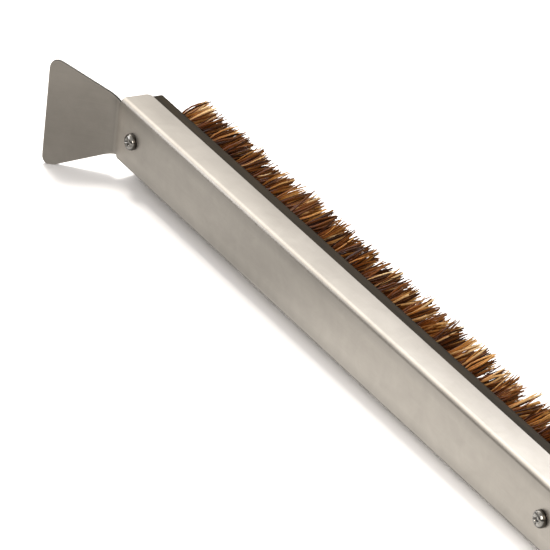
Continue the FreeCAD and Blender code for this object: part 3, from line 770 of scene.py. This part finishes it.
tip_x = rows[0][0]
flare = math.atan((SCRAPER_HALF_WIDTH - ROOT_HALF_WIDTH) / (scraper_reach + NOTCH_SETBACK))
corner_run = SCRAPER_CORNER / math.tan((math.pi / 2 - flare) / 2)
pick(channel, "VERT", lambda p: near(p.x, tip_x))
bpy.ops.mesh.bevel(affect="VERTICES", offset=corner_run, segments=SCRAPER_CORNER_STEPS)
pick(channel, "VERT", lambda p: near(p.y, flange_edge))
bpy.ops.mesh.bevel(affect="VERTICES", offset=FLANGE_CORNER, segments=FLANGE_CORNER_STEPS)
print("blade corners are", round(SCRAPER_CORNER / MM, 1), "mm in radius")

# %% [markdown]
# Smooth shading blends a bend's light into the flats beside it. A line of points cut just
# inside each flat, still in edit mode, stops the blend there, so the flats stay flat to
# the eye.

# %% Lines that keep the flats flat
FLAT_MARGIN = 0.5 * MM

cuts = [((0, 0, side * (flat_half - FLAT_MARGIN)), (0, 0, 1)) for side in (1, -1)]
cuts += [((0, BEND_RADIUS + FLAT_MARGIN, 0), (0, 1, 0)),
         ((front + FLAT_MARGIN, 0, 0), (1, 0, 0)),
         (fold_corner - (fold_run + FLAT_MARGIN) * toward_channel, toward_channel)]
for cut_place, cut_normal in cuts:
    bpy.ops.mesh.select_all(action="SELECT")
    bpy.ops.mesh.bisect(plane_co=cut_place, plane_no=cut_normal)
bpy.ops.mesh.select_all(action="SELECT")
bpy.ops.mesh.normals_make_consistent(inside=False)
bpy.ops.object.mode_set(mode="OBJECT")
back_normal = max(channel.data.polygons, key=lambda f: f.area).normal
if back_normal.y > 0:
    channel.data.flip_normals()
corners = [v.co for v in channel.data.vertices]
print("scraper is", round((max(p.z for p in corners) - min(p.z for p in corners)) / MM, 1),
      "mm wide")

# %% [markdown]
# The sheet gets its thickness towards the wood. The screw holes and the loop's pivot
# holes are drilled through it with thin cylinders, and a fine bevel stands for the
# tumbled edge, which catches a thin line of light.

# %% Thickness, holes and edges
SCREWS = ("front_screw", "rear_screw", "grip_front_screw", "grip_rear_screw")
SCREW_HOLE_RADIUS = 2.05 * MM
PIVOT_HOLE_RADIUS = 1.33 * MM
EDGE_BEVEL = 0.15 * MM
HOLE_SIDES = 32

channel.data.materials.append(sheet_steel)
channel.data.materials.append(shaded_cut_edge)
apply_modifier(channel, "SOLIDIFY", thickness=SHEET, offset=-1, use_even_offset=True,
               material_offset_rim=1)


def drill(piece, centre, radius, length, across):
    """Drill a straight hole along Y, or along Z where it goes across the channel."""
    deselect()
    turned = (0, 0, 0) if across else (math.pi / 2, 0, 0)
    bpy.ops.mesh.primitive_cylinder_add(vertices=HOLE_SIDES, radius=radius, depth=length,
                                        location=centre, rotation=turned)
    cutter = bpy.context.object
    apply_modifier(piece, "BOOLEAN", operation="DIFFERENCE", object=cutter, solver="EXACT")
    bpy.data.objects.remove(cutter)


for node in SCREWS:
    low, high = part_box(node)
    drill(channel, ((low.x + high.x) / 2, SHEET / 2, 0), SCREW_HOLE_RADIUS, 3 * SHEET, False)
pivot = Vector(frame["joints"][0]["pos_m"])
for side in (1, -1):
    drill(channel, (pivot.x, pivot.y, side * (CHANNEL_HALF_WIDTH - SHEET / 2)),
          PIVOT_HOLE_RADIUS, 3 * SHEET, True)
apply_modifier(channel, "BEVEL", width=EDGE_BEVEL, segments=2, limit_method="ANGLE",
               angle_limit=math.radians(40))
print("channel faces:", len(channel.data.polygons))


# %% [markdown]
# The grain runs along the sheet as it was rolled, so each point keeps the place that it
# had on the flat sheet. Unfolding turns the two bends and the fold back into lengths.

# %% Where each point lay on the flat sheet
def unfold(p):
    """A point's place on the sheet before it was folded: along, across, and depth."""
    along, across = p.x, p.z
    bend_quarter = BEND_RADIUS * math.pi / 2
    if p.x < front - FOLD_START:
        reach = -(p - fold_corner).dot(toward_channel)
        if reach < fold_run:
            turned = math.atan2(front - FOLD_START - p.x, p.y + FOLD_RADIUS)
            along = front - FOLD_START - FOLD_RADIUS * turned
        else:
            along = front - FOLD_START - FOLD_RADIUS * FOLD_ANGLE - (reach - fold_run)
    elif abs(p.z) > flat_half:
        side = math.copysign(1, p.z)
        if p.y < BEND_RADIUS:
            turned = math.atan2(abs(p.z) - flat_half, BEND_RADIUS - p.y)
            across = side * (flat_half + BEND_RADIUS * turned)
        else:
            across = side * (flat_half + bend_quarter + p.y - BEND_RADIUS)
    return along, across, 0.0


places = channel.data.attributes.new("flat_place", "FLOAT_VECTOR", "POINT")
flat = [length for v in channel.data.vertices for length in unfold(v.co)]
places.data.foreach_set("vector", flat)
print("flat sheet:", round((max(flat[0::3]) - min(flat[0::3])) / MM), "mm long before folding")

# %% [markdown]
# Finishing a piece always ends the same way: smooth shading up to its sharp edges, its material,
# the body it moves with, and hiding the design node it stands for. Weighted normals then let the
# sheet's large flats rule its shading.

# %% Finish a piece
def finish_piece(piece, material, body, slot, *nodes, angle=35):
    """Smooth a piece, give it its material and body, and hide the design nodes it stands for."""
    select_only(piece)
    bpy.ops.object.shade_smooth_by_angle(angle=math.radians(angle))
    if material not in piece.data.materials[:]:
        piece.data.materials.clear()
        piece.data.materials.append(material)
    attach(piece, body)
    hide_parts(*nodes)


finish_piece(channel, sheet_steel, "brush", "channel_steel", "body_channel")
apply_modifier(channel, "WEIGHTED_NORMAL", keep_sharp=True, weight=80)
print(channel.name, "rides on the brush")

# %% [markdown]
# ## Wood, screws and loop
# These pieces have their true shapes in the design. A design node's mesh is loose
# triangles, so each is copied, its triangles are joined into one skin, and the copy is
# shaded smooth up to its sharp edges.

# %% Smooth copies of the design's pieces
def smooth_copy(node, material, body, slot, angle=35):
    """A joined, smooth-shaded copy of a design node, with its own finish."""
    piece = bpy.data.objects.new(node + "_finished", frame["nodes"][node].data.copy())
    bpy.context.collection.objects.link(piece)
    select_only(piece)
    bpy.ops.object.mode_set(mode="EDIT")
    bpy.ops.mesh.select_all(action="SELECT")
    bpy.ops.mesh.remove_doubles(threshold=0.001 * MM)
    bpy.ops.object.mode_set(mode="OBJECT")
    finish_piece(piece, material, body, slot, node, angle=angle)
    return piece


for node in ("brush_block", "grip_block"):
    piece = smooth_copy(node, beech, "brush", "stained_wood")
    print(piece.name, len(piece.data.polygons), "faces")

# %% [markdown]
# A screw's cross recess, and the head's side down to the steel back, are darkened with painted
# shade and grime. So each point keeps how deep it lies, from 0 at the head's top to 1 at the
# bottom of the recess or down at the back.

# %% Screws with dark recesses, and their inserts
RECESS_REACH = 2.7 * MM
RECESS_DEPTH = 0.8 * MM
HEAD_HEIGHT = 2.9 * MM

for node in SCREWS:
    screw = smooth_copy(node, screw_steel, "brush", "screw_steel")
    low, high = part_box(node)
    painted_shade_shares = []
    # Each point's share of painted shade: deep in the recess, or low on the head's side.
    for v in screw.data.vertices:
        from_axis = math.hypot(v.co.x - (low.x + high.x) / 2, v.co.z)
        if from_axis < RECESS_REACH:
            depth = (v.co.y - low.y) / RECESS_DEPTH
        else:
            depth = 1 + v.co.y / HEAD_HEIGHT
        painted_shade_shares.append(min(max(depth, 0.0), 1.0))
    recess_depth = screw.data.attributes.new("recess_depth", "FLOAT", "POINT")
    recess_depth.data.foreach_set("value", painted_shade_shares)
    print(node, "has", sum(depth > 0 for depth in painted_shade_shares), "shaded points")
    smooth_copy(node.replace("screw", "insert"), turned_brass, "brush", "insert_brass")

# %% [markdown]
# The loop is one bent wire, so it is shaded smooth over wider angles than the rest. It is
# the only piece that rides on the loop's body. The anchors are the flat wires that hold
# each tuft in its hole.

# %% Loop and anchors
smooth_copy("hanging_loop", drawn_wire, "loop", "loop_wire", angle=60)
for node in ("upper_staples", "middle_staples", "lower_staples"):
    smooth_copy(node, drawn_wire, "brush", "anchor_wire")
print("the loop's wire and three rows of anchors are in place")

# %% [markdown]
# ## Palm fibre tufts
# A tuft is a few dozen stiff strands, folded over a wire anchor and driven into a hole,
# then trimmed level. Each strand is a thin prism with its own thickness, lean and bow, so
# one is modelled once and laid thousands of times. It has only a few faces, because a
# strand is less than a millimetre thick.

# %% One strand
STRAND_SIDES = 5
STRAND_STEPS = 5
STRAND_TAPER = 0.55

deselect()
bpy.ops.mesh.primitive_circle_add(vertices=STRAND_SIDES, radius=0.5, fill_type="NGON",
                                  rotation=(math.pi, 0, 0))
strand = bpy.context.object
bpy.ops.object.transform_apply(location=True, rotation=True, scale=True)
bpy.ops.object.mode_set(mode="EDIT")
for _ in range(STRAND_STEPS):
    bpy.ops.mesh.extrude_region_move(
        TRANSFORM_OT_translate={"value": (0, 0, 1 / STRAND_STEPS)})
bpy.ops.transform.resize(value=(STRAND_TAPER, STRAND_TAPER, 1))
bpy.ops.mesh.select_all(action="SELECT")
bpy.ops.mesh.normals_make_consistent(inside=False)
bpy.ops.object.mode_set(mode="OBJECT")
strand_points = [v.co.copy() for v in strand.data.vertices]
strand_faces = [tuple(f.vertices) for f in strand.data.polygons]
bpy.data.objects.remove(strand)
print("one strand:", len(strand_points), "points,", len(strand_faces), "faces")

# %% [markdown]
# The tufts stand in three staggered rows, 12.7 mm apart along a row, and the outer rows
# lean outwards. A tuft fills its hole and flares to its tip.

# %% Sizes of the tufts
TUFT_PITCH = 12.7 * MM
ROW_SPACING = 8.5 * MM
ROW_TILT = math.radians(12)
HOLE_RADIUS = 3.1 * MM
TUFT_TIP_RADIUS = 5.2 * MM
BRISTLE_LENGTH = 17.5 * MM
STRANDS = 62
STRAND_THICKNESS = 0.78 * MM

wood_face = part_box("brush_block")[1].y
print("bristles stand from y", round(wood_face / MM, 1), "to",
      round((wood_face + BRISTLE_LENGTH) / MM, 1), "mm")

# %% [markdown]
# Chance gives every tuft its own lean, length and tone, and every strand in it its own
# root, tip, bow, kink and thickness. The first tuft of a row is paler, as an end tuft that
# gets less use. Tips are held inside the design's own tufts, so that no strand reaches
# further than they do. A fixed seed for each row lays the same brush every time.

# %% How tufts and strands vary
# Leans are slopes and spreads are shares. Root depth, scatter, bow and kink are in mm.
TUFT_LEAN = 0.075
TUFT_SIDE_LEAN = 0.045
TUFT_LENGTH_SPREAD = 0.02
TUFT_TONE_SPREAD = 0.12
END_TUFT_TONE = 0.28
ROOT_DEPTH = 2
STRAND_LENGTH_SPREAD = 0.06
TIP_SCATTER = (1.6, 1.3)
TIP_CLEARANCE = 0.3 * MM
SIDE_CLEARANCE = 0.5 * MM
BOW = 0.6
KINK = 1.6
KINK_STARTS = (0.4, 0.6)
THICKNESS_RANGE = (0.6, 1.45)
FLATNESS_RANGE = (0.55, 1.0)
STRAND_TONE = (0.48, 0.24)
print("a tuft holds", STRANDS, "strands")

# %% [markdown]
# A strand runs from a spot in its hole to a spot in the tuft's wider tip. The modelled
# prism is stretched along that run, bent by its bow and kink, and thinned or flattened.

# %% Lay the strands of a row
def spot_in_disc(chance, radius):
    """A random spot spread evenly over a disc."""
    angle = chance.uniform(0, 2 * math.pi)
    reach = radius * math.sqrt(chance.random())
    return reach * math.cos(angle), reach * math.sin(angle)


def make_tuft_row(name, count, z, tilt, seed, node):
    """All the strands of one row as one piece."""
    chance = random.Random(seed)
    out = Vector((0, math.cos(tilt), math.sin(tilt)))
    aside = Vector((0, -math.sin(tilt), math.cos(tilt)))
    along = Vector((1, 0, 0))
    low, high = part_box(node)
    spread = TUFT_TIP_RADIUS / HOLE_RADIUS
    points, faces, strand_tones, reaches = [], [], [], []
    for tuft in range(count):
        root = Vector(((tuft - (count - 1) / 2) * TUFT_PITCH, wood_face, z))
        lean = chance.gauss(0, TUFT_LEAN)
        side_lean = chance.gauss(0, TUFT_SIDE_LEAN)
        tuft_length = BRISTLE_LENGTH * (1 - abs(chance.gauss(0, TUFT_LENGTH_SPREAD)))
        tuft_tone = chance.uniform(-TUFT_TONE_SPREAD, TUFT_TONE_SPREAD)
        if tuft == 0:
            tuft_tone += END_TUFT_TONE
        for _ in range(STRANDS):
            u, v = spot_in_disc(chance, HOLE_RADIUS)
            start = root + along * u + aside * v - out * ROOT_DEPTH * MM
            length = tuft_length * (1 - abs(chance.gauss(0, STRAND_LENGTH_SPREAD)))
            tip_u = u * spread + length * lean + chance.gauss(0, TIP_SCATTER[0]) * MM
            tip_v = v * spread + length * side_lean + chance.gauss(0, TIP_SCATTER[1]) * MM
            tip = root + along * tip_u + aside * tip_v + out * length
            tip = Vector((min(max(tip.x, low.x), high.x),
                          min(tip.y, high.y - TIP_CLEARANCE),
                          min(max(tip.z, low.z + SIDE_CLEARANCE), high.z - SIDE_CLEARANCE)))
            run = tip - start
            across = run.cross(along).normalized()
            upward = run.cross(across).normalized()
            bow = (across * chance.gauss(0, BOW) + upward * chance.gauss(0, BOW)) * MM
            kink = (across * chance.gauss(0, KINK) + upward * chance.gauss(0, KINK)) * MM
            kink_start = chance.choice(KINK_STARTS)
            thickness = STRAND_THICKNESS * chance.uniform(*THICKNESS_RANGE)
            flatness = chance.uniform(*FLATNESS_RANGE)
            tone = min(max(chance.gauss(*STRAND_TONE) + tuft_tone, 0), 1)
            first = len(points)
            for p in strand_points:
                centre = (start + run * p.z + bow * math.sin(math.pi * p.z)
                          + kink * max(0, p.z - kink_start))
                points.append(centre + across * (p.x * thickness)
                              + upward * (p.y * thickness * flatness))
                reaches.append(p.z)
                strand_tones.append(tone)
            faces.extend(tuple(first + corner for corner in face) for face in strand_faces)
    mesh = bpy.data.meshes.new(name)
    mesh.from_pydata(points, [], faces)
    for attribute, shares in (("strand_tone", strand_tones), ("strand_reach", reaches)):
        mesh.attributes.new(attribute, "FLOAT", "POINT").data.foreach_set("value", shares)
    row = bpy.data.objects.new(name, mesh)
    bpy.context.collection.objects.link(row)
    finish_piece(row, palm_fibre, "brush", "fibre", node, angle=80)
    print(name, len(faces), "faces")


make_tuft_row("upper_fibres", 29, ROW_SPACING, ROW_TILT, 11, "upper_tufts")
make_tuft_row("middle_fibres", 28, 0, 0, 12, "middle_tufts")
make_tuft_row("lower_fibres", 29, -ROW_SPACING, -ROW_TILT, 13, "lower_tufts")
